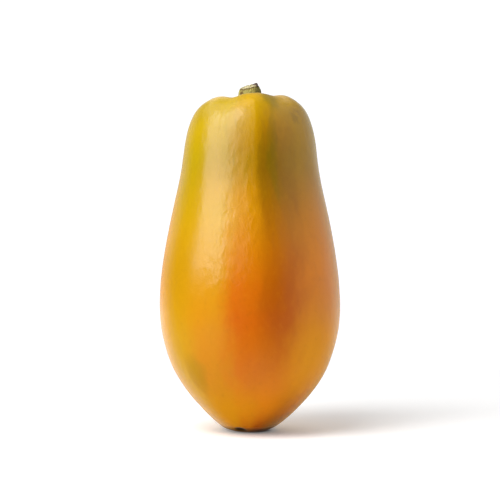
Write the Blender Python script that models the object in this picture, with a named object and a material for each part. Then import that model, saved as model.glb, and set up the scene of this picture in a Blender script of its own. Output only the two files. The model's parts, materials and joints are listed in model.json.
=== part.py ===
"""A ripe papaya standing on its blossom end, with the cut stub of its stalk.

The fruit is one solid body: a turned, pear-like outline whose crown is drawn into five broad lobes round a
shallow hollow. The stub of the stalk is a piece of its own, seated in a round socket at the bottom of that
hollow. Nothing moves.

Metres, +Z up along the fruit. The origin is the middle of the flat spot that the fruit rests on, and the
fruit's front faces -Y.
"""

from math import atan2, hypot, radians, sin, tan, tau

import bmesh
import bpy
from mathutils import Vector
from mathutils.geometry import interpolate_bezier

# ---- driving dimensions -------------------------------------------------------------------------------
BODY_WIDTH = 0.1003  # across the widest part of the body
BODY_HEIGHT = 0.1855  # from the flat spot to the crests of the lobes
REST_RADIUS = 0.0090  # the flat spot on the blossom end
CREST_RADIUS = 0.0195  # the ring of crests round the hollow
STUB_RADIUS = 0.0071  # the foot of the stalk stub
GAP = 0.0003  # clearance between the stub's foot and its socket

# ---- the five lobes -----------------------------------------------------------------------------------
LOBES = 5
FRONT_LOBE = radians(5)  # the front lobe's crest, turned a little towards +X from straight ahead
BODY_FURROW = 0.0004  # depth of the furrows between the lobes, on the body
CROWN_FURROW = 0.0024  # and at the ring of crests
FURROW_STARTS = 0.76  # share of the height where the furrows begin to deepen

# ---- the hollow and the stub --------------------------------------------------------------------------
HOLLOW_DEPTH = 0.0055  # from the crests to the hollow's floor
SOCKET_DEPTH = 0.0015  # from the hollow's floor to the bottom of the socket
SOCKET_RADIUS = STUB_RADIUS + GAP
STUB_TOP = 0.1912  # height of the middle of the cut face
CUT_LEANS_LEFT = radians(15)  # the stalk was cut on a slant, lowest at the front left
CUT_LEANS_FORWARD = radians(15)

# ---- the blossom scar ---------------------------------------------------------------------------------
SCAR_PLACE = Vector((-0.0036, -0.0080))  # on the front left rim of the flat spot
SCAR_BALL = 0.0045  # radius of the ball that scoops it out
SCAR_DEPTH = 0.0014

# ---- fineness -----------------------------------------------------------------------------------------
FRUIT_SEGMENTS = 60
STUB_SEGMENTS = 24
FRUIT_STEPS = 2  # points on each stretch between two knots of the outline
STUB_STEPS = 3

HALF = BODY_WIDTH / 2
FLOOR = BODY_HEIGHT - HOLLOW_DEPTH

# The fruit's side from the flat spot to the crests, as shares of the half width and of the height.
SIDE = (
    (0.246, 0.004),
    (0.306, 0.011),
    (0.362, 0.023),
    (0.442, 0.043),
    (0.573, 0.079),
    (0.708, 0.123),
    (0.823, 0.170),
    (0.909, 0.223),
    (0.970, 0.286),
    (1.000, 0.358),
    (0.992, 0.437),
    (0.959, 0.520),
    (0.905, 0.600),
    (0.838, 0.682),
    (0.776, 0.757),
    (0.744, 0.825),
    (0.714, 0.881),
    (0.668, 0.926),
    (0.601, 0.961),
    (0.510, 0.984),
)


def fruit_knots():
    """The fruit's outline as (radius, height), from the flat spot over the crests to the hollow's floor."""
    side = [(share * HALF, rise * BODY_HEIGHT) for share, rise in SIDE]
    crest = (CREST_RADIUS, BODY_HEIGHT)
    slope = (0.70 * CREST_RADIUS, BODY_HEIGHT - 0.25 * HOLLOW_DEPTH)
    foot = (0.48 * CREST_RADIUS, BODY_HEIGHT - 0.85 * HOLLOW_DEPTH)
    return [(REST_RADIUS, 0.0), *side, crest, slope, foot, (SOCKET_RADIUS, FLOOR)]


def smooth_line(knots, steps):
    """A smooth curve through the knots, with `steps` points to each stretch between two of them."""
    knots = [Vector(knot) for knot in knots]
    line = []
    for i, (start, end) in enumerate(zip(knots, knots[1:])):
        before = knots[max(i - 1, 0)]
        after = knots[min(i + 2, len(knots) - 1)]
        reach = (end - start).length / 3
        leave = start + (end - before).normalized() * reach
        arrive = end - (after - start).normalized() * reach
        line += interpolate_bezier(start, leave, arrive, end, steps + 1)[:-1]
    return [*line, knots[-1]]


def turned(outline, segments):
    """A closed body of revolution about Z: the outline spun once round, its two open ends filled flat."""
    bm = bmesh.new()
    verts = [bm.verts.new((radius, 0.0, height)) for radius, height in outline]
    edges = [bm.edges.new(pair) for pair in zip(verts, verts[1:])]
    bmesh.ops.spin(
        bm, geom=verts + edges, axis=(0, 0, 1), cent=(0, 0, 0), angle=tau, steps=segments, use_merge=True
    )
    rims = [edge for edge in bm.edges if edge.is_boundary]
    bmesh.ops.holes_fill(bm, edges=rims)
    bmesh.ops.recalc_face_normals(bm, faces=bm.faces)
    return bm


def smooth_step(x):
    """0 below 0, 1 above 1, and an even rise between them."""
    x = min(max(x, 0.0), 1.0)
    return x * x * (3 - 2 * x)


def furrow_depth(radius, height):
    """How deep a furrow is at this place: nothing at the flat spot and the socket, most at the crests."""
    rise = height / BODY_HEIGHT
    deepening = smooth_step((rise - FURROW_STARTS) / (1 - FURROW_STARTS))
    depth = BODY_FURROW * smooth_step(4 * rise) + (CROWN_FURROW - BODY_FURROW) * deepening
    clear_of_socket = smooth_step((radius - SOCKET_RADIUS) / (CREST_RADIUS - SOCKET_RADIUS))
    return depth * clear_of_socket


def draw_into_lobes(bm):
    """Sink the skin between the lobes: the lobes stay broad and round, and the furrows are narrower."""
    bm.normal_update()
    for vert in bm.verts:
        x, y, z = vert.co
        azimuth = atan2(x, -y)
        between = abs(sin(LOBES * (azimuth - FRONT_LOBE) / 2)) ** 3
        vert.co -= vert.normal * furrow_depth(hypot(x, y), z) * between


def cut_on_slant(bm):
    """Cut the stalk off on its slanting plane and close the cut."""
    normal = Vector((-tan(CUT_LEANS_LEFT), -tan(CUT_LEANS_FORWARD), 1)).normalized()
    everything = [*bm.verts, *bm.edges, *bm.faces]
    cut = bmesh.ops.bisect_plane(
        bm, geom=everything, plane_co=(0, 0, STUB_TOP), plane_no=normal, clear_outer=True
    )
    rim = [item for item in cut["geom_cut"] if isinstance(item, bmesh.types.BMEdge)]
    bmesh.ops.contextual_create(bm, geom=rim)


def stub_outline():
    """The stub's side: a foot swollen where it joins the fruit, then a slow taper past the cut."""
    bottom = FLOOR - SOCKET_DEPTH + GAP
    past_the_cut = STUB_TOP + STUB_RADIUS
    knots = (
        (STUB_RADIUS, bottom),
        (0.98 * STUB_RADIUS, FLOOR + 0.001),
        (0.94 * STUB_RADIUS, FLOOR + 0.005),
        (0.86 * STUB_RADIUS, FLOOR + 0.010),
        (0.62 * STUB_RADIUS, past_the_cut),
    )
    return smooth_line(knots, STUB_STEPS)


def painted(name, colour, roughness):
    """A plain Principled material."""
    material = bpy.data.materials.new(name)
    material.use_nodes = True
    shader = material.node_tree.nodes["Principled BSDF"]
    shader.inputs["Base Color"].default_value = (*colour, 1)
    shader.inputs["Roughness"].default_value = roughness
    shader.inputs["Metallic"].default_value = 0
    return material


def add_object(name, bm, material, sharp_above=radians(35)):
    """Put a finished mesh into the scene as a named object, shaded smooth up to its sharp edges."""
    mesh = bpy.data.meshes.new(name)
    bm.to_mesh(mesh)
    bm.free()
    mesh.materials.append(material)
    mesh.shade_smooth()
    mesh.set_sharp_from_angle(angle=sharp_above)
    piece = bpy.data.objects.new(name, mesh)
    bpy.context.scene.collection.objects.link(piece)
    return piece


def make_fruit():
    """The body, with the socket for the stalk sunk into the floor of its hollow."""
    outline = [*smooth_line(fruit_knots(), FRUIT_STEPS), (SOCKET_RADIUS, FLOOR - SOCKET_DEPTH)]
    bm = turned(outline, FRUIT_SEGMENTS)
    draw_into_lobes(bm)
    return add_object("fruit", bm, painted("skin", (0.74, 0.34, 0.03), 0.35))


def make_blossom_scar(fruit):
    """Scoop out the small pit that the flower left, on the rim of the flat spot."""
    bm = bmesh.new()
    bmesh.ops.create_icosphere(bm, subdivisions=3, radius=SCAR_BALL)
    ball = add_object("scar_cutter", bm, fruit.data.materials[0])
    ball.location = (*SCAR_PLACE, SCAR_DEPTH - SCAR_BALL)
    ball.hide_render = True
    ball.display_type = "WIRE"
    scoop = fruit.modifiers.new("blossom_scar", "BOOLEAN")
    scoop.operation = "DIFFERENCE"
    scoop.solver = "EXACT"
    scoop.object = ball


def make_stem_stub():
    bm = turned(stub_outline(), STUB_SEGMENTS)
    cut_on_slant(bm)
    return add_object("stem_stub", bm, painted("stalk", (0.36, 0.31, 0.10), 0.75))


def main():
    for old in list(bpy.data.objects):
        bpy.data.objects.remove(old)
    fruit = make_fruit()
    make_blossom_scar(fruit)
    make_stem_stub()


main()
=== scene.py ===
# %% [markdown]
# # A ripe papaya, standing on its blossom end
#
# The solid model gives two plain shapes in their true places: the fruit, and the cut stub of its stalk. This
# lesson dresses them. The fruit gets its soft lobes, its faint puckers and a skin that turns from olive at
# the crown to gold and orange below. The stub gets its fibres, its torn rim and its pale cut.
#
# The fruit's front faces -Y, +Z is up, and every length is in metres.

# %% Load the frame
import json
from math import atan2, cos, degrees, hypot, pi, radians, sin, tan, tau

import bmesh
import bpy
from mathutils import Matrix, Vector

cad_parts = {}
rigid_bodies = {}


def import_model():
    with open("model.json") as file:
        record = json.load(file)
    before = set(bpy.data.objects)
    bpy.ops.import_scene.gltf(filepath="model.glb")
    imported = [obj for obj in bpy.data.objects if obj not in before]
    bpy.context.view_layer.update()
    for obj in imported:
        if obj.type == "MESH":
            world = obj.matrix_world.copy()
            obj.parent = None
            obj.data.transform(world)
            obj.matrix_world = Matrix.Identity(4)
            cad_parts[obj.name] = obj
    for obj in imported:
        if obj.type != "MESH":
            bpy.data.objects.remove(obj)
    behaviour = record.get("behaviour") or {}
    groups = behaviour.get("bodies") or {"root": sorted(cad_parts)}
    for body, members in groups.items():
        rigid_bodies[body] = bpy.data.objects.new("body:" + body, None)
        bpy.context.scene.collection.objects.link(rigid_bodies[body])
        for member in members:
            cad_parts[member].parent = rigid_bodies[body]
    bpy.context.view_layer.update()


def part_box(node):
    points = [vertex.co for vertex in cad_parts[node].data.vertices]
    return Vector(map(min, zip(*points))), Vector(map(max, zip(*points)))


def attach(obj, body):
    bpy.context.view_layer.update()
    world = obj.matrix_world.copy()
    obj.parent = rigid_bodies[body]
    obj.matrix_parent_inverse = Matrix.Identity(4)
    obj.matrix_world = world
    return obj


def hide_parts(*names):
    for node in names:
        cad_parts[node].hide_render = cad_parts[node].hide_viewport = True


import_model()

fruit_low, fruit_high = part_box("fruit")
stub_low, stub_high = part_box("stem_stub")
HALF = (fruit_high.x - fruit_low.x) / 2  # half the width of the body
TALL = fruit_high.z  # from the table to the crests of the lobes
print("body", round(2000 * HALF, 1), "mm wide and", round(1000 * TALL, 1), "mm tall")

# %% [markdown]
# ## The camera
#
# A level camera with a long lens keeps a standing fruit's sides upright. It stands straight in front, a
# little above the middle of the fruit, so the table is seen at a shallow angle and the crown from just below.

# %% Camera
CAMERA_AWAY = 0.70
CAMERA_HEIGHT = 0.09995
VIEW_WIDTH = 0.2778  # how much the picture takes in at the fruit

camera = bpy.data.objects.new("camera", bpy.data.cameras.new("camera"))
bpy.context.scene.collection.objects.link(camera)
camera.data.sensor_width = 36
camera.data.lens = 36 * CAMERA_AWAY / VIEW_WIDTH
camera.location = (0, -CAMERA_AWAY, CAMERA_HEIGHT)
camera.rotation_euler = (radians(90), 0, 0)
bpy.context.scene.camera = camera
print("lens", round(camera.data.lens), "mm")

# %% [markdown]
# ## Working by hand, in code
#
# The tools of edit mode act on whatever is selected. So each step below selects what it needs by its place,
# and then calls the same tool that a hand would pick from the menu. These helpers do the selecting.


# %% Helpers for selecting and shaping
def only(piece):
    """Make this piece the one that the tools act on."""
    bpy.ops.object.select_all(action="DESELECT")
    piece.select_set(True)
    bpy.context.view_layer.objects.active = piece


def ring(name, sides, radius, height, turn):
    """Start a piece from a filled circle of points, with edit mode on and its face selected."""
    bpy.ops.object.select_all(action="DESELECT")
    bpy.ops.mesh.primitive_circle_add(
        vertices=sides, radius=radius, fill_type="NGON", location=(0, 0, height), rotation=(0, 0, turn)
    )
    piece = bpy.context.object
    piece.name = name
    bpy.ops.object.transform_apply()
    bpy.ops.object.mode_set(mode="EDIT")
    bpy.ops.mesh.select_all(action="SELECT")
    return piece


def grow(start, end):
    """Extrude the selected face from one (radius, height) to the next."""
    bpy.ops.mesh.extrude_region_move(TRANSFORM_OT_translate={"value": (0, 0, end[1] - start[1])})
    scale = end[0] / start[0]
    bpy.ops.transform.resize(value=(scale, scale, 1), center_override=(0, 0, end[1]))


def finish_shell():
    """Leave edit mode with every face of the closed shell pointing outwards."""
    bpy.ops.mesh.select_all(action="SELECT")
    bpy.ops.mesh.normals_make_consistent(inside=False)
    bpy.ops.object.mode_set(mode="OBJECT")


def modify(piece, kind, **settings):
    """Add a modifier with these settings and apply it."""
    only(piece)
    modifier = piece.modifiers.new(kind.lower(), kind)
    for name, value in settings.items():
        setattr(modifier, name, value)
    bpy.ops.object.modifier_apply(modifier=modifier.name)


def smooth(piece, levels):
    modify(piece, "SUBSURF", levels=levels, render_levels=levels)


def weigh(piece, name, weight_at):
    """Paint a vertex group by rule: weight_at gives 0 to 1 for a place on the piece."""
    group = piece.vertex_groups.new(name=name)
    for vertex in piece.data.vertices:
        group.add([vertex.index], weight_at(vertex.co), "REPLACE")
    return group.name


def soft_step(x):
    """0 below 0, 1 above 1, and an even rise between them."""
    x = min(max(x, 0.0), 1.0)
    return x * x * (3 - 2 * x)


def azimuth(place):
    """The turn round the fruit in degrees: 0 at the front, positive towards +X."""
    return degrees(atan2(place.x, -place.y))


# %% [markdown]
# ## The body of the fruit
#
# A papaya is nearly a turned shape, so it could be spun from a profile. Growing it from a ring of points
# instead, one extrusion at a time, keeps the points in columns. There are eight columns to each of the five
# lobes, so a lobe always has its own crest column and every furrow between two lobes has one too.

# %% Grow the body from the flat spot to the hollow
LOBES = 5
COLUMNS = 8 * LOBES
FRONT_LOBE = radians(5)  # the front lobe is turned a little towards +X
PLUMP = 1.0042  # smoothing draws a ring of 40 points in by 0.4 %, so the rings start that much wider
REST = 0.0086  # the flat spot's radius
CREST = 0.0195  # radius of the ring of crests
HOLLOW = 0.0055  # depth of the hollow below the crests
SOCKET = 0.0074  # radius of the seat of the stalk
SOCKET_SINKS = 0.0015  # depth of the seat below the hollow
FIRST_DISC = 0.86 * REST  # the disc that the body is grown from

SIDE = (  # shares of the half width and of the height
    (0.237, 0.004),
    (0.302, 0.011),
    (0.362, 0.023),
    (0.442, 0.043),
    (0.573, 0.079),
    (0.708, 0.123),
    (0.823, 0.170),
    (0.909, 0.223),
    (0.970, 0.286),
    (1.000, 0.358),
    (0.992, 0.437),
    (0.959, 0.520),
    (0.905, 0.600),
    (0.838, 0.682),
    (0.776, 0.757),
    (0.744, 0.825),
    (0.714, 0.881),
    (0.668, 0.926),
    (0.601, 0.961),
    (0.510, 0.984),
)
rings = [(REST, 0.0)]
rings += [(share * HALF, rise * TALL) for share, rise in SIDE]
rings += [
    (CREST, TALL),
    (0.70 * CREST, TALL - 0.25 * HOLLOW),
    (0.48 * CREST, TALL - 0.85 * HOLLOW),
    (SOCKET, TALL - HOLLOW),
    (SOCKET, TALL - HOLLOW - SOCKET_SINKS),
]


def stand_out(line):
    """Move each point out by a sixth of the bend there, which is what smoothing will take off it."""
    line = [Vector(point) for point in line]
    inner = [b + (2 * b - a - c) / 6 for a, b, c in zip(line, line[1:], line[2:])]
    return [line[0], *inner, line[-1]]


papaya = ring("papaya_fruit", COLUMNS, FIRST_DISC, 0, FRONT_LOBE)
before = (FIRST_DISC, 0.0)
for radius, height in stand_out(rings):
    after = (radius * PLUMP, height)
    grow(before, after)
    before = after
finish_shell()
print(len(papaya.data.vertices), "points in", len(rings) + 1, "rings")

# %% [markdown]
# ## Lobes
#
# Each furrow is deep at the crown and fades down the side. A vertex group holds how far every point sinks,
# and one Displace modifier sinks them all along their own normals, as a thumb would press them in.

# %% Press in the furrows
BODY_FURROW = 0.0004
CROWN_FURROW = 0.0025
FURROW_STARTS = 0.76  # share of the height where they begin to deepen
FURROW_STRENGTH = (0.6, 0.9, 1.0, 0.8, 0.85)  # no two furrows are quite alike


def furrow(place):
    rise = place.z / TALL
    turn = (radians(azimuth(place)) - FRONT_LOBE) % tau
    across = abs(sin(LOBES * turn / 2)) ** 4
    deepening = soft_step((rise - FURROW_STARTS) / (1 - FURROW_STARTS))
    depth = BODY_FURROW * soft_step(4 * rise) + (CROWN_FURROW - BODY_FURROW) * deepening
    clear_of_socket = soft_step((hypot(place.x, place.y) - SOCKET) / (CREST - SOCKET))
    strength = FURROW_STRENGTH[int(turn / tau * LOBES) % LOBES]
    return depth / CROWN_FURROW * across * clear_of_socket * strength


furrows = weigh(papaya, "furrows", furrow)
modify(papaya, "DISPLACE", strength=-CROWN_FURROW, mid_level=0, vertex_group=furrows)

# %% [markdown]
# The left lobes are a little lower than the right ones, so the crown dips to the left by a millimetre.

# %% Lower the left of the crown
CROWN_DIP = 0.0014


def left_crown(place):
    return soft_step((place.z / TALL - 0.75) / 0.25) * soft_step(0.35 - place.x / (2 * CREST))


dip = weigh(papaya, "dip", left_crown)
modify(papaya, "DISPLACE", direction="Z", strength=-CROWN_DIP, mid_level=0, vertex_group=dip)

# %% [markdown]
# The foot isn't quite round: its right side tapers in a little more than its left.

# %% Draw in the right side of the foot
FOOT_SHIFT = 0.0015
FOOT_SHIFT_ENDS = 0.010  # height where the body is back in line


def foot_share(place):
    return soft_step(1 - place.z / FOOT_SHIFT_ENDS) * soft_step(place.x / REST)


foot_group = weigh(papaya, "foot", foot_share)
modify(papaya, "DISPLACE", direction="X", strength=-FOOT_SHIFT, mid_level=0, vertex_group=foot_group)

# %% [markdown]
# The front lobe comes to a blunt keel near the crown: light falls on its left and its right is in shade.

# %% Pinch the front keel
KEEL = 0.00035
KEEL_WIDTH = 8  # degrees to each side


def keel(place):
    across = 1 - abs(azimuth(place) - degrees(FRONT_LOBE)) / KEEL_WIDTH
    rise = place.z / TALL
    return max(across, 0) * soft_step((rise - 0.70) / 0.20) * soft_step((0.995 - rise) / 0.03)


smooth(papaya, 2)
front = weigh(papaya, "keel", keel)
modify(papaya, "DISPLACE", strength=KEEL, mid_level=0, vertex_group=front)
print("lobed body:", len(papaya.data.polygons), "faces")

# %% [markdown]
# ## Uneven growth
#
# A turned shape is too even for a fruit. Cloud textures push the skin in and out: a wide, shallow one for the
# swell of the flesh, then ripples that run up the fruit, strongest on the front lobe, and fine puckers all
# over. They all fade out at the flat spot, which has to stay level on the table.


# %% Swell, ripple and pucker the skin
def clouds(name, size, depth=2):
    texture = bpy.data.textures.new(name, "CLOUDS")
    texture.noise_scale = size
    texture.noise_depth = depth
    return texture


def off_the_table(place):
    return soft_step((place.z - 0.001) / 0.012)


def rippled(place):
    turn = azimuth(place)
    lobe = soft_step((turn + 40) / 25) * soft_step((25 - turn) / 25)
    return off_the_table(place) * (0.25 + 0.75 * lobe * soft_step((place.z / TALL - 0.30) / 0.25))


def roughen(piece, name, weight_at, size, depth, strength, stretch=1.0):
    """Displace by clouds of this size, drawn out `stretch` times along the fruit."""
    grain = bpy.data.objects.new("grain", None)
    bpy.context.scene.collection.objects.link(grain)
    grain.scale = (1, 1, stretch)
    bpy.context.view_layer.update()
    modify(
        piece,
        "DISPLACE",
        texture=clouds(name, size, depth),
        texture_coords="OBJECT",
        texture_coords_object=grain,
        strength=strength,
        mid_level=0.5,
        vertex_group=weigh(piece, name, weight_at),
    )
    bpy.data.objects.remove(grain)


roughen(papaya, "swell", off_the_table, size=0.045, depth=2, strength=0.0011)
smooth(papaya, 1)
roughen(papaya, "ripples", rippled, size=0.0040, depth=2, strength=0.00034, stretch=1.5)
roughen(papaya, "puckers", off_the_table, size=0.0022, depth=1, strength=0.00014, stretch=1.3)
print("skin:", len(papaya.data.polygons), "faces")

# %% [markdown]
# ## The blossom scar
#
# Where the flower dropped off, the blossom end keeps a small sunken pit. Here it sits on the front left rim
# of the flat spot. The points near it sink in the same way as the furrows did.

# %% Sink the blossom scar
SCAR = Vector((-0.0052, -0.0136, 0.0014))
SCAR_REACH = 0.0034
SCAR_DEPTH = 0.0012


def scar(place):
    return soft_step(1.25 - (place - SCAR).length / SCAR_REACH)


scarred = weigh(papaya, "scar", scar)
modify(papaya, "DISPLACE", strength=-SCAR_DEPTH, mid_level=0, vertex_group=scarred)
only(papaya)
bpy.ops.object.shade_smooth()
print("lowest point", round(min(v.co.z for v in papaya.data.vertices) * 1000, 3), "mm")

# %% [markdown]
# ## The stub of the stalk
#
# The stalk is a bundle of fibres. The stub starts as a ring of points at the bottom of its socket. It swells
# into a collar where it joins the fruit and then tapers. A slanting bisect cuts it off, and insets turn the
# cut into a rim with a sunken, pithy middle. At the back right a low lip of torn skin stands over the cut.

# %% Grow the stub, cut it and tear its rim
CUT_MIDDLE = Vector((0, 0, 0.1912))
CUT_LEANS_LEFT = radians(15)
CUT_LEANS_FORWARD = radians(17)
CUT_NORMAL = Vector((-tan(CUT_LEANS_LEFT), -tan(CUT_LEANS_FORWARD), 1)).normalized()
CUT_INSETS = (  # width and depth of each step, from the rim to the pith
    (0.0007, 0.0),
    (0.0006, -0.0005),
    (0.0010, 0.0),
    (0.0012, 0.0003),
)
LIP_STEPS = ((0.0002, 1.0), (0.0001, 0.95))  # the rise of each step, and how far it draws in
LIP_LEANS = -0.0001
FOOT = (stub_high.x - stub_low.x) / 2
seat = TALL - HOLLOW
stalk_rings = (
    (FOOT, seat),
    (1.10 * FOOT, seat + 0.0006),
    (1.08 * FOOT, seat + 0.0020),
    (0.98 * FOOT, seat + 0.0042),
    (0.93 * FOOT, seat + 0.0060),
    (0.88 * FOOT, seat + 0.0080),
    (0.76 * FOOT, seat + 0.0100),
    (0.60 * FOOT, seat + 0.0120),
    (0.45 * FOOT, seat + 0.0150),
)
stub = ring("papaya_stub", 32, FOOT, stub_low.z, 0)
before = (FOOT, stub_low.z)
for after in stalk_rings:
    grow(before, after)
    before = after
bpy.ops.mesh.select_all(action="SELECT")
bpy.ops.mesh.bisect(plane_co=CUT_MIDDLE, plane_no=CUT_NORMAL, use_fill=True, clear_outer=True)
bpy.ops.mesh.select_mode(type="FACE")


def select_faces(piece, chosen):
    """In edit mode, select the faces for which chosen(face) is true."""
    mesh = bmesh.from_edit_mesh(piece.data)
    mesh.normal_update()
    for face in mesh.faces:
        face.select_set(chosen(face))
    bmesh.update_edit_mesh(piece.data)


def is_cut(face):
    return abs(face.normal.dot(CUT_NORMAL)) > 0.99 and face.calc_center_median().z > seat + 0.004


def on_torn_side(face):
    middle = face.calc_center_median()
    far_out = hypot(middle.x, middle.y) > 0.50 * FOOT
    return is_cut(face) and far_out and 55 < azimuth(middle) < 135


select_faces(stub, is_cut)
for width, depth in CUT_INSETS:
    bpy.ops.mesh.inset(thickness=width, depth=depth)
select_faces(stub, on_torn_side)
for height, inwards in LIP_STEPS:
    bpy.ops.mesh.extrude_region_move(TRANSFORM_OT_translate={"value": (LIP_LEANS, 0, height)})
    bpy.ops.transform.resize(value=(inwards, 1, 1))
finish_shell()


def above_seat(place):
    return soft_step((place.z - seat) / 0.002)


smooth(stub, 3)
roughen(stub, "fibres", above_seat, size=0.0012, depth=1, strength=0.0009, stretch=9.0)
only(stub)
bpy.ops.object.shade_smooth()
print("stub:", len(stub.data.polygons), "faces")

# %% [markdown]
# ## Shader maths
#
# A skin's colour is a sum of many small rules: more green near the crown, more red on the sunny side. Written
# as nodes that is a maze, so this small class lets the rules be written as plain sums and products.


# %% A class for shader maths
class Signal:
    """One output of a node, which Python's operators turn into Math nodes."""

    def __init__(self, paint, socket):
        self.paint = paint
        self.socket = socket

    def maths(self, operation, first, second):
        return self.paint.node("Math", {"operation": operation}, {0: first, 1: second})

    def __add__(self, other):
        return self.maths("ADD", self, other)

    def __sub__(self, other):
        return self.maths("SUBTRACT", self, other)

    def __rsub__(self, other):
        return self.maths("SUBTRACT", other, self)

    def __mul__(self, other):
        return self.maths("MULTIPLY", self, other)

    def __truediv__(self, other):
        return self.maths("DIVIDE", self, other)

    def __pow__(self, other):
        return self.maths("POWER", self, other)

    __radd__ = __add__
    __rmul__ = __mul__


class Paint:
    """A node tree that is being written. Every node comes from `node`."""

    def __init__(self, owner):
        owner.use_nodes = True
        self.tree = owner.node_tree
        self.tree.nodes.clear()

    def node(self, kind, settings=None, sockets=None, output=0):
        """Add a node: first its settings, such as an operation, and then its sockets' values or links."""
        made = self.tree.nodes.new("ShaderNode" + kind)
        for name, value in (settings or {}).items():
            if name == "stops":
                self.set_stops(made.color_ramp, value)
            else:
                setattr(made, name, value)
        for name, value in (sockets or {}).items():
            socket = self.find(made.inputs, name)
            if isinstance(value, Signal):
                self.tree.links.new(value.socket, socket)
            else:
                socket.default_value = value
        return Signal(self, self.find(made.outputs, output)) if made.outputs else None

    def find(self, sockets, name):
        """A socket by its number, or by its name among those that the node's settings leave in use."""
        if isinstance(name, int):
            return sockets[name]
        return next(socket for socket in sockets if socket.name == name and socket.enabled)

    def set_stops(self, ramp, stops):
        """Give a colour ramp these (position, colour) stops, joined by a smooth curve."""
        ramp.interpolation = "CARDINAL"
        while len(ramp.elements) < len(stops):
            ramp.elements.new(1.0)
        for element, (position, colour) in zip(ramp.elements, stops):
            element.position = position
            element.color = colour

    def mix(self, factor, first, second, blend="MIX"):
        """Blend two colours."""
        settings = {"data_type": "RGBA", "blend_type": blend}
        return self.node("Mix", settings, {"Factor": factor, "A": first, "B": second}, "Result")

    def ease(self, value, low, high):
        """0 up to low, 1 from high on, and an even rise between; a fall where low is above high."""
        settings = {"interpolation_type": "SMOOTHSTEP"}
        if low < high:
            return self.node("MapRange", settings, {"Value": value, "From Min": low, "From Max": high})
        return 1 - self.node("MapRange", settings, {"Value": value, "From Min": high, "From Max": low})

    def noise(self, place, size, detail=3.0, stretch=1.0):
        """Clouds about `size` metres across, drawn out along Z by `stretch`, with values round 0.5."""
        if stretch != 1.0:
            squeeze = (1, 1, 1 / stretch)
            place = self.node("VectorMath", {"operation": "MULTIPLY"}, {0: place, 1: squeeze})
        return self.node("TexNoise", {}, {"Vector": place, "Scale": 1 / size, "Detail": detail})


def tint(code):
    """A colour from its usual six-figure code, in the linear values that shaders use."""
    shares = [int(code[i : i + 2], 16) / 255 for i in (0, 2, 4)]
    linear = [s / 12.92 if s <= 0.04045 else ((s + 0.055) / 1.055) ** 2.4 for s in shares]
    return (*linear, 1.0)


# %% [markdown]
# ## Skin
#
# A papaya ripens unevenly, so no single gradient gives its colours. One way is to scatter soft spots of
# colour over it. Here the colours are instead read up six lines, like the meridians of a globe: each is a
# ramp of colours by height. Going round the fruit, each ramp melts into the next. Noise bends both the height
# and the turn before they are used, so no border runs straight. The flanks and the left front end in a pale
# colour at the shoulders, which is a painted highlight where the crests catch the light.

# %% Colours up the six lines, by height in millimetres
LEFT_FLANK = {
    6: "CA8E00", 30: "C69400", 55: "C69200", 85: "BE8A00", 115: "BE9200", 145: "B09200",
    165: "BA9A00", 179: "B69800", 184: "E2C278",
# the pale stop at 184 mm is a painted highlight on the shoulder
}
LEFT_FRONT = {
    6: "D08A00", 30: "CA8200", 55: "CE8400", 85: "CA8E00", 115: "C49600", 130: "BC9000",
    # the pale stop at 184 mm is a painted highlight on the shoulder
    145: "AC8800", 165: "B69400", 179: "BC9C00", 184: "CCA83C",
}
FRONT = {
    6: "D27A00", 14: "D48400", 30: "D27400", 60: "CE6200", 72: "CE6600", 85: "D07000",
    115: "CE8800", 130: "C88A00", 145: "B88600", 160: "BC8A00", 180: "CA9E00",
}
BLUSHED_CHEEK = {
    6: "B85C00", 14: "D47A00", 28: "D87A00", 55: "C25E00", 72: "B85800", 100: "BC6A00",
    125: "A46A00", 148: "906600", 165: "AC7A00", 180: "BC9200",
}
RIGHT_FLANK = {
    6: "A86A00", 14: "BA6A00", 30: "D88800", 50: "E69400", 72: "E08400", 95: "E68800",
    # the pale stop at 184 mm is a painted highlight on the shoulder
    120: "D28600", 142: "B48200", 165: "B68A00", 179: "B88E00", 184: "DCB668",
}
BACK = {
    6: "C89000", 30: "DA9800", 60: "E09600", 90: "E29800", 120: "DA9C00", 150: "C49C00",
    180: "BE9E00",
}


# %% Where a point lies on the skin
class Spot:
    """The point being painted: its height and its turn round the fruit, both bent a little by noise."""

    def __init__(self, paint):
        self.paint = paint
        self.place = paint.node("TexCoord", {}, {}, "Object")
        self.x = paint.node("SeparateXYZ", {}, {"Vector": self.place}, "X")
        self.y = paint.node("SeparateXYZ", {}, {"Vector": self.place}, "Y")
        self.z = paint.node("SeparateXYZ", {}, {"Vector": self.place}, "Z")
        self.radius = (self.x * self.x + self.y * self.y) ** 0.5
        drift = paint.noise(self.place, 0.028, 2, 1.6) - 0.5
        self.fray = paint.noise(self.place, 0.006, 3, 2.5) - 0.5
        self.height = self.z + drift * 0.012 + self.fray * 0.006
        turn = paint.node("Math", {"operation": "ARCTAN2"}, {0: self.x, 1: self.y * -1}) * (180 / pi)
        self.turn = turn + drift * 16 + self.fray * 12
        self.streaks = paint.ease(paint.noise(self.place, 0.004, 3, 7), 0.50, 0.72)

    def patch(self, at_turn, at_height, half_turn, half_height):
        """1 in the middle of a soft oval patch, down to 0 at its edge."""
        across = (self.turn - at_turn) / half_turn
        along = (self.height - at_height) / half_height
        return self.paint.ease(across * across + along * along, 1.0, 0.0)

    def cork(self):
        """1 on the corky skin round the stalk."""
        return self.paint.ease(self.radius, 0.0150, 0.0085) * self.paint.ease(self.z, 0.150, 0.160)

    def shaded_foot(self):
        """1 on the bottom few millimetres of the foot, next to the table, where the skin is given painted
        shade.
        """
        return self.paint.ease(self.z + self.fray * 0.002, 0.0044, 0.0010)


# %% [markdown]
# The six ramps meet at soft borders. On the neck the darker blushed cheek is drawn a little further left than
# below, as painted shade on the right side of the front keel. The cheek gives way to the right flank sooner
# on the belly, as the blush narrows there.


# %% Melt the six lines into each other
RAMP_LENGTH = 200  # millimetres of height from one end of a ramp to the other


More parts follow.
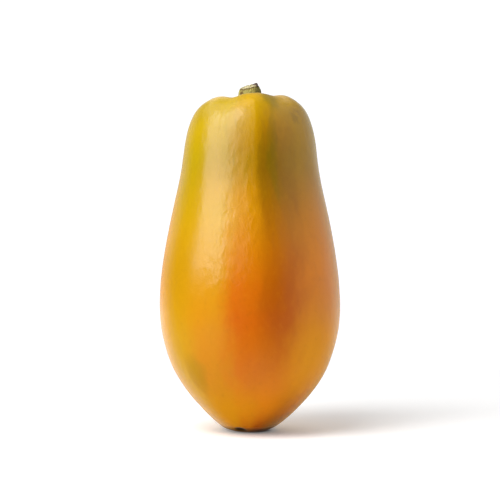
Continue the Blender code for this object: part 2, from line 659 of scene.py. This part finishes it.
def read_up(spot, colours):
    """A ramp of the colours by height."""
    stops = [(millimetres / RAMP_LENGTH, tint(code)) for millimetres, code in colours.items()]
    share = spot.height * (1000 / RAMP_LENGTH)
    return spot.paint.node("ValToRGB", {"stops": stops}, {"Fac": share}, "Color")


def ripen(spot):
    """The skin's colour by height and turn alone."""
    ease, mix, height, turn = spot.paint.ease, spot.paint.mix, spot.height, spot.turn
    keel_shade = ease(height, 0.098, 0.122) * ease(height, 0.166, 0.138)
    belly = ease(height, 0.105, 0.065)
    colour = read_up(spot, LEFT_FLANK)
    colour = mix(ease(turn, -52, -28), colour, read_up(spot, LEFT_FRONT))
    colour = mix(ease(turn, -24, -6), colour, read_up(spot, FRONT))
    # drawing the darker cheek left on the neck paints the shade on the keel's right side
    colour = mix(ease(turn + keel_shade * 4, 1, 16), colour, read_up(spot, BLUSHED_CHEEK))
    colour = mix(ease(turn + belly * 9, 26, 52), colour, read_up(spot, RIGHT_FLANK))
    return mix(ease(turn, 55, 85) + ease(turn, -55, -85), colour, read_up(spot, BACK))


# %% [markdown]
# Some colour belongs to one place only: green left in a furrow, which also carries painted shade in that
# furrow, and a rubbed shoulder. It could be painted on an image by hand. As soft ovals of height and turn,
# the patches stay easy to read and to move.


# %% Add what belongs to one place only
def add_patches(spot, colour):
    """Each patch by its turn and height, and by how far it reaches in each."""
    ease, mix, noise, patch = spot.paint.ease, spot.paint.mix, spot.paint.noise, spot.patch
    colour = mix(patch(-41, 0.0345, 12, 0.013) * 0.38, colour, tint("9C7400"))  # dull lower left
    rubbed = patch(50, 0.1715, 11, 0.006) * ease(noise(spot.place, 0.004, 3), 0.36, 0.60)
    colour = mix(rubbed * 0.4, colour, tint("7E5E1C"))  # rubbed right shoulder
    under_crown = patch(18, 0.146, 22, 0.034)
    colour = mix(spot.streaks * under_crown * 0.35, colour, tint("7A6200"))  # green streaks
    colour = mix(patch(21, 0.150, 6, 0.032) * 0.4, colour, tint("786600"))  # one green line down the neck
    khaki = patch(-11, 0.156, 16, 0.034) * (0.25 + spot.streaks * 0.35)
    colour = mix(khaki, colour, tint("8E7810"))  # dull front of the neck
    return mix(patch(24, 0.182, 13, 0.009) * 0.55, colour, tint("7E6C00"))  # green left in a furrow, with painted shade in the furrow


# %% [markdown]
# From close by, the skin is flecked, and it has tiny breathing pores here and there. Noise gives both, so
# faintly that it breaks up the plain colour and no single fleck stands out.


# %% Add flecks and pores
def add_flecks(spot, colour):
    ease, mix, noise = spot.paint.ease, spot.paint.mix, spot.paint.noise
    mottle = noise(spot.place, 0.0022, 3, 1.3)
    colour = mix(ease(mottle, 0.55, 0.80) * 0.10, colour, tint("7A4A08"))  # darker flecks
    colour = mix(ease(mottle, 0.50, 0.20) * 0.05, colour, tint("F0B020"))  # and lighter ones
    cells = {"Vector": spot.place, "Scale": 1 / 0.0055}
    pores = ease(spot.paint.node("TexVoronoi", {}, cells, "Distance"), 0.11, 0.05)
    here_and_there = ease(noise(spot.place, 0.012, 2), 0.52, 0.60)
    return mix(pores * here_and_there * 0.08, colour, tint("6A4A14"))


# %% [markdown]
# Growth marks the two ends: cork round the stalk, and the dark scar of the blossom at the foot. Where the
# fruit stands, the bottom of the foot gets a dark, warm painted shade, darker on its right.


# %% Add cork, painted shade on the foot, and scar
def add_wear_and_foot_shade(spot, colour):
    ease, mix = spot.paint.ease, spot.paint.mix
    colour = mix(spot.cork() * (0.35 + spot.streaks * 0.4), colour, tint("6B5A2A"))  # cork round the stalk
    shade = spot.shaded_foot() * (0.75 + ease(spot.x, -0.002, 0.006) * 0.2)
    colour = mix(shade, colour, tint("542C06"))  # painted shade on the bottom of the foot, darker on its right
    from_scar = spot.paint.node("VectorMath", {"operation": "DISTANCE"}, {0: spot.place, 1: SCAR}, "Value")
    return mix(ease(from_scar, 0.0042, 0.0020) * 0.9, colour, tint("2A1206"))  # blossom scar


# %% [markdown]
# The skin has a fine grain, and shallow dents down the front left, where it has begun to shrink. They are too
# fine to model, so a Bump node bends the light instead. The gloss is the wax's own: it is duller where there
# is bloom or cork, and on the bottom of the foot.


# %% Grain, dents and gloss
def skin_relief(spot):
    """A fine grain all over, and dents down the front left, which are faint elsewhere."""
    sockets = {"Vector": spot.place, "Scale": 1 / 0.0011, "Detail": 2.0}
    grit = spot.paint.node("TexNoise", {}, sockets)
    dents = spot.paint.noise(spot.place, 0.0034, 3, 1.7)
    shrunk = spot.patch(-12, 0.118, 25, 0.075) + 0.20
    height_map = grit * 0.4 + dents * shrunk * 2.4
    return spot.paint.node("Bump", {}, {"Strength": 0.5, "Distance": 0.0003, "Height": height_map}, "Normal")


def skin_roughness(spot):
    wax = spot.paint.noise(spot.place, 0.018, 3, 1.5)
    bloom = spot.patch(-14, 0.150, 18, 0.036)
    return 0.20 + wax * 0.08 + spot.cork() * 0.3 + bloom * 0.10 + spot.shaded_foot() * 0.5


# %% [markdown]
# Each step above takes the colour so far and hands it on, so the whole skin is one short chain.


# %% Paint the skin
def paint_skin():
    material = bpy.data.materials.new("papaya skin")
    paint = Paint(material)
    spot = Spot(paint)
    colour = add_wear_and_foot_shade(spot, add_flecks(spot, add_patches(spot, ripen(spot))))
    sockets = {
        "Base Color": colour,
        "Roughness": skin_roughness(spot),
        "IOR": 1.5,
        "Normal": skin_relief(spot),
    }
    shader = paint.node("BsdfPrincipled", {}, sockets)
    paint.node("OutputMaterial", {}, {"Surface": shader})
    print("skin:", len(paint.tree.nodes), "nodes")
    return material


skin = paint_skin()
papaya.data.materials.clear()
papaya.data.materials.append(skin)

# %% [markdown]
# ## Stalk
#
# The stub's side is khaki and fibrous, and darkest where it was torn; its right side is darkened as painted
# shade. How far a point lies below the plane of the cut tells the finish there: pale pith on the cut itself,
# a thin brown rim round it, and bark below.

# %% Paint the stalk
LEAF_SCAR = Vector((-0.0048, -0.0044, 0.1862))


def paint_stalk():
    material = bpy.data.materials.new("papaya stalk")
    paint = Paint(material)
    place = paint.node("TexCoord", {}, {}, "Object")
    x = paint.node("SeparateXYZ", {}, {"Vector": place}, "X")
    y = paint.node("SeparateXYZ", {}, {"Vector": place}, "Y")
    along = paint.node("VectorMath", {"operation": "DOT_PRODUCT"}, {0: place, 1: CUT_NORMAL}, "Value")
    over_cut = along - CUT_MIDDLE.dot(CUT_NORMAL)
    fibre = paint.noise(place, 0.0009, 3, 8)
    blotch = paint.noise(place, 0.0025, 3)

    bark = paint.mix(paint.ease(fibre, 0.40, 0.75), tint("AEA456"), tint("7A7030"))
    bark = paint.mix(paint.ease(x, 0.0005, 0.0055) * 0.8, bark, tint("55521E"))  # painted shade on its right side
    leaf = paint.node("VectorMath", {"operation": "DISTANCE"}, {0: place, 1: LEAF_SCAR}, "Value")
    bark = paint.mix(paint.ease(leaf + blotch * 0.001, 0.0026, 0.0012) * 0.9, bark, tint("5E4008"))
    bark = paint.mix(paint.ease(over_cut + blotch * 0.0008, -0.0007, 0.0) * 0.85, bark, tint("5C451C"))
    pith = paint.mix(paint.ease(blotch, 0.40, 0.70), tint("C0B68E"), tint("978B5E"))
    radius = (x * x + y * y) ** 0.5
    inside = paint.ease(radius, 0.0056, 0.0050) * paint.ease(over_cut, -0.0009, -0.0006)
    colour = paint.mix(inside, bark, pith)
    turn = paint.node("Math", {"operation": "ARCTAN2"}, {0: x, 1: y * -1}) * (180 / pi)
    torn = paint.ease(turn, 38, 50) * paint.ease(turn, 165, 150) * paint.ease(radius, 0.0022, 0.0030)
    curled = paint.ease(over_cut + blotch * 0.0008, -0.0012, -0.0004)
    colour = paint.mix(torn * curled * 0.95, colour, tint("49352F"))
    relief = paint.node("Bump", {}, {"Strength": 0.5, "Distance": 0.0003, "Height": fibre}, "Normal")
    sockets = {"Base Color": colour, "Roughness": 0.62 + blotch * 0.2, "Normal": relief}
    shader = paint.node("BsdfPrincipled", {}, sockets)
    paint.node("OutputMaterial", {}, {"Surface": shader})
    return material


stub.data.materials.clear()
stub.data.materials.append(paint_stalk())

# %% [markdown]
# ## Table and light
#
# The table is white and fades into a white room. A matt table alone would come out grey, so it glows a
# little, except round the foot, where the fruit keeps the light off it. Right under the fruit it takes a
# dark, warm shade. It could be left to show in the skin's gloss as well, but so white a table bleaches the
# belly, so it is hidden from gloss. Some of its shine still comes back with the diffuse light, and in two
# zones the table is warm for bounced light alone: far out in front, and next to the foot.

# %% Table
TABLE_RADIUS = 1.2
CLEAR_FROM = 0.55  # the table has faded out at this distance from the fruit

bpy.ops.object.select_all(action="DESELECT")
bpy.ops.mesh.primitive_circle_add(vertices=96, radius=TABLE_RADIUS, fill_type="NGON", location=(0, 0, 0))
table = bpy.context.object
table.name = "table"
table.visible_glossy = False


def paint_table():
    material = bpy.data.materials.new("white table")
    paint = Paint(material)
    place = paint.node("TexCoord", {}, {}, "Object")
    x = paint.node("SeparateXYZ", {}, {"Vector": place}, "X")
    distance = paint.node("VectorMath", {"operation": "LENGTH"}, {0: place}, "Value")
    seen = paint.node("LightPath", {}, {}, "Is Camera Ray")

    def distance_to(spot):
        return paint.node("VectorMath", {"operation": "DISTANCE"}, {0: place, 1: spot}, "Value")

    def lit_and_glowing(matt, colour):
        """A matt surface that also glows a little."""
        glow = paint.node("Emission", {}, {"Color": colour, "Strength": 0.30})
        return paint.node("AddShader", {}, {0: matt, 1: glow})

    def blend(factor, first, second):
        return paint.node("MixShader", {}, {"Fac": factor, 1: first, 2: second})

    matt = paint.node("BsdfDiffuse", {}, {"Color": (0.84, 0.84, 0.84, 1)})
    warm_matt = paint.node("BsdfDiffuse", {}, {"Color": (0.84, 0.84, 0.04, 1)})
    warm = lit_and_glowing(warm_matt, (1, 1, 0.05, 1))
    far = paint.ease(distance, 0.07, 0.15) * paint.ease(x, -0.10, -0.02) * paint.ease(x, 0.16, 0.04)
    near = paint.ease(distance, 0.050, 0.030) * 0.7
    surface = blend((far + near) * (1 - seen), lit_and_glowing(matt, (1, 1, 1, 1)), warm)

    from_foot = distance_to((0.008, -0.012, 0))
    surface = blend(paint.ease(from_foot, 0.046, 0.0) * 0.62, surface, matt)  # no glow round the foot
    from_rest = distance_to((0.001, 0, 0))
    shade = paint.node("BsdfDiffuse", {}, {"Color": tint("582A12")})
    surface = blend(paint.ease(from_rest, 0.0122, 0.0075) * 0.9, surface, shade)  # right under the fruit
    clear = paint.node("BsdfTransparent")
    surface = blend(paint.ease(distance, 0.22, CLEAR_FROM), surface, clear)
    paint.node("OutputMaterial", {}, {"Surface": surface})
    return material


table.data.materials.append(paint_table())
print("table:", 2 * TABLE_RADIUS, "m wide, and clear from", CLEAR_FROM, "m outwards")

# %% [markdown]
# A soft box is a big, even light, and a waxy skin shows it as a soft, long patch. The key stands at the front
# left and gives the tall shine down that side. The fill, nearer to the camera, widens the shine's right edge.
# The top light brightens the crown and the shoulders. Its own round shine would spoil the long one, so it
# is hidden from gloss.


# %% Soft boxes
def soft_box(name, turn, rise, width, height, radiance):
    """A flat light that faces the fruit from 0.9 m away."""
    away = 0.9
    light = bpy.data.objects.new(name, bpy.data.lights.new(name, "AREA"))
    bpy.context.scene.collection.objects.link(light)
    light.data.shape = "RECTANGLE"
    light.data.size = width
    light.data.size_y = height
    light.data.energy = radiance * pi * width * height
    turn, rise = radians(turn), radians(rise)
    towards = Vector((sin(turn) * cos(rise), -cos(turn) * cos(rise), sin(rise)))
    light.location = Vector((0, 0, 0.1)) + towards * away
    light.rotation_euler = towards.to_track_quat("Z", "Y").to_euler()
    print(name, "shines", round(light.data.energy, 1), "W")
    return light


soft_box("key", turn=-57, rise=33.5, width=0.60, height=0.86, radiance=4.1)
soft_box("fill", turn=-21, rise=32, width=0.48, height=0.80, radiance=0.85)
top = soft_box("top", turn=-34, rise=60, width=0.42, height=0.42, radiance=7.0)
top.visible_glossy = False

# %% [markdown]
# The limbs of a glossy fruit mirror the room beside and behind it. A plain white room would bleach them, so
# the room is dim in front, with paler walls at the right and behind, each with soft edges, and a faint warm
# light from below. What the camera sees past the fruit is plain white.

# %% Room
world = bpy.data.worlds.new("room")
bpy.context.scene.world = world
room = Paint(world)
direction = room.node("TexCoord", {}, {}, "Generated")
dx = room.node("SeparateXYZ", {}, {"Vector": direction}, "X")
dy = room.node("SeparateXYZ", {}, {"Vector": direction}, "Y")
dz = room.node("SeparateXYZ", {}, {"Vector": direction}, "Z")
level = (dx * dx + dy * dy) ** 0.5 + 0.001
ahead = dy * -1 / level  # 1 towards the camera, -1 behind the fruit
right = dx / level
side = room.ease(right, 0.55, 0.97) * 0.55
back = room.ease(ahead, -0.3, -0.9) * room.ease(dz, 0.6, 0.25) * 0.58
right_back = room.ease(ahead, 0.1, -0.5) * room.ease(right, 0, 0.5) * 0.13
standing = room.ease(dz, -0.35, 0.05) * room.ease(dz, 0.95, 0.7)  # walls, between floor and ceiling
walls = (side + back + right_back) * standing
above = room.ease(dz, 0.15, 0.65) * room.ease(ahead, 0.6, -0.2) * 0.07
overhead = room.ease(dz * 0.9 + dy * 0.44, 0.55, 0.95) * 0.10
left_high = room.ease(dz, 0.50, 0.75) * room.ease(right, -0.50, -0.80)
under = room.ease(dz, -0.9, -0.45) * room.ease(dz, 0.02, -0.1)  # from the floor's edge to steeply below
left_back = room.ease(ahead, -0.2, -0.8) * room.ease(right, 0.2, -0.4) * 0.8
right_floor = room.ease(ahead, -0.2, -0.8) * room.ease(right, 0, 0.4) * 0.25
far_table = under * (left_back + right_floor)
strength = walls + above + overhead + left_high + far_table + 0.04
seen = room.node("LightPath", {}, {}, "Is Camera Ray")
white = room.node("Background", {}, {"Color": (1, 1, 1, 1), "Strength": strength})
warm = room.node("Background", {}, {"Color": (1, 0.6, 0.15, 1), "Strength": under * 0.25})
lit = room.node("AddShader", {}, {0: white, 1: warm})
plain = room.node("Background", {}, {"Color": (1, 1, 1, 1), "Strength": 1.1})
both = room.node("MixShader", {}, {"Fac": seen, 1: lit, 2: plain})
room.node("OutputWorld", {}, {"Surface": both})
print("room:", len(room.tree.nodes), "nodes")

bpy.context.scene.view_settings.view_transform = "Standard"

# %% Hand over
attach(papaya, "root")
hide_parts("fruit")
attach(stub, "root")
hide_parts("stem_stub")
